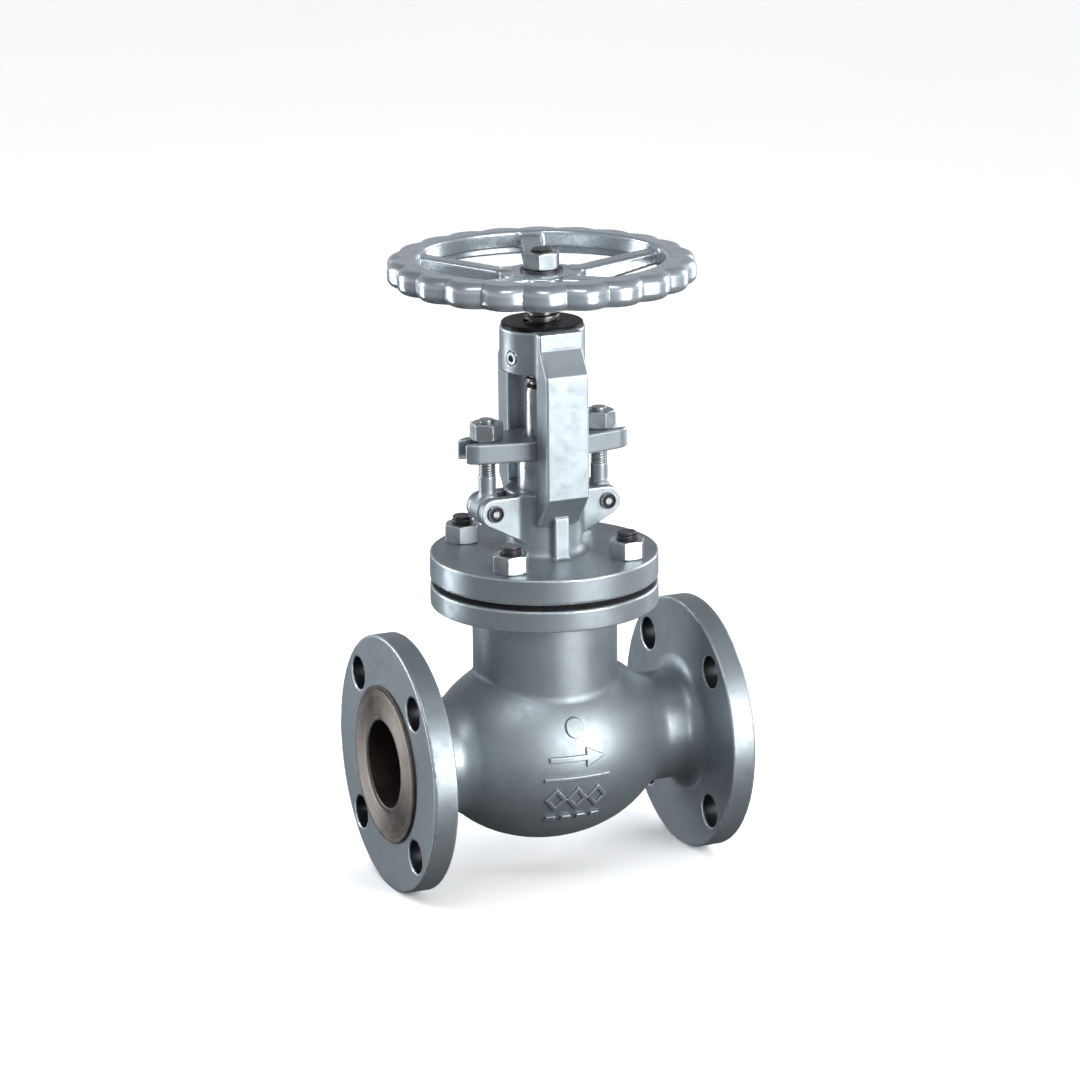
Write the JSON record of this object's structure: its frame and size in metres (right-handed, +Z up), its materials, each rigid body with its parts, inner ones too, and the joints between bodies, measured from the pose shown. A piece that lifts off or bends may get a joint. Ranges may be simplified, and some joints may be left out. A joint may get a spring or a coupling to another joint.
{
  "type": "globe valve",
  "caption": "Flanged globe valve with bolted bonnet, outside screw and yoke, swing-bolt gland and a lobed handwheel that lifts the disc off its seat.",
  "frame": {"origin": "centre of the valve, where the axis of the pipe crosses the axis of the stem", "axes": "+X along the pipe from the inlet flange to the outlet flange, +Z up the stem towards the handwheel, +Y across the pipe towards the rear yoke arm"},
  "size_m": [0.203, 0.1752, 0.368],
  "materials": {
    "cast_paint": "satin silver paint over cast steel",
    "wheel_paint": "satin silver paint over a cast wheel",
    "stainless": "machined",
    "stem_steel": "machined, lightly greased thread",
    "nut_steel": "zinc plated",
    "dark_steel": "oiled alloy steel",
    "black_steel": "black oxide",
    "black_gasket": "matt graphite sheet",
    "graphite": "braided graphite",
    "bronze": "machined bronze"
  },
  "bodies": {
    "valve": {"body": "cast_paint", "inlet_flange": "cast_paint", "outlet_flange": "cast_paint", "seat_ring": "stainless", "bonnet_gasket": "black_gasket", "bonnet": "cast_paint", "bonnet_studs": "dark_steel", "bonnet_nuts": "nut_steel", "backseat_bush": "stainless", "packing_washer": "stainless", "packing_rings": "graphite", "gland_follower": "stainless", "gland_flange": "cast_paint", "eyebolt_pin_left": "dark_steel", "eyebolt_pin_right": "dark_steel", "yoke_bush": "bronze", "bush_retainer": "black_steel", "yoke_set_screw": "dark_steel"},
    "disc_group": {"disc": "stainless", "disc_split_ring": "bronze", "disc_nut": "stainless"},
    "stem_group": {"stem": "stem_steel", "handwheel": "wheel_paint", "handwheel_washer": "dark_steel", "handwheel_nut": "nut_steel"},
    "left_eyebolt": {"eyebolt_left": "nut_steel"},
    "right_eyebolt": {"eyebolt_right": "nut_steel"},
    "left_gland_nut": {"gland_nut_left": "nut_steel"},
    "right_gland_nut": {"gland_nut_right": "nut_steel"}
  },
  "joints": [
    {"name": "disc_lift", "type": "slide", "parent": "valve", "child": "disc_group", "axis": [0, 0, 1], "range_m": [0, 0.0161]},
    {"name": "handwheel_turn", "type": "hinge", "parent": "disc_group", "child": "stem_group", "pos_m": [0, 0, 0.263], "axis": [0, 0, 1], "range_deg": [0, 1440]},
    {"name": "left_eyebolt_swing", "type": "hinge", "parent": "valve", "child": "left_eyebolt", "pos_m": [-0.035, 0, 0.1443], "axis": [0, -1, 0], "range_deg": [0, 40]},
    {"name": "right_eyebolt_swing", "type": "hinge", "parent": "valve", "child": "right_eyebolt", "pos_m": [0.035, 0, 0.1443], "axis": [0, 1, 0], "range_deg": [0, 40]},
    {"name": "left_gland_nut_run", "type": "slide", "parent": "left_eyebolt", "child": "left_gland_nut", "axis": [0, 0, 1], "range_m": [0, 0.0085]},
    {"name": "right_gland_nut_run", "type": "slide", "parent": "right_eyebolt", "child": "right_gland_nut", "axis": [0, 0, 1], "range_m": [0, 0.0085]}
  ],
  "couplings": [
    {"joint": "disc_lift", "follows": "handwheel_turn", "m_per_rad": 0.00063662},
    {"joint": "left_gland_nut_run", "follows": "left_eyebolt_swing", "m_per_rad": 0.012},
    {"joint": "right_gland_nut_run", "follows": "right_eyebolt_swing", "m_per_rad": 0.012}
  ]
}
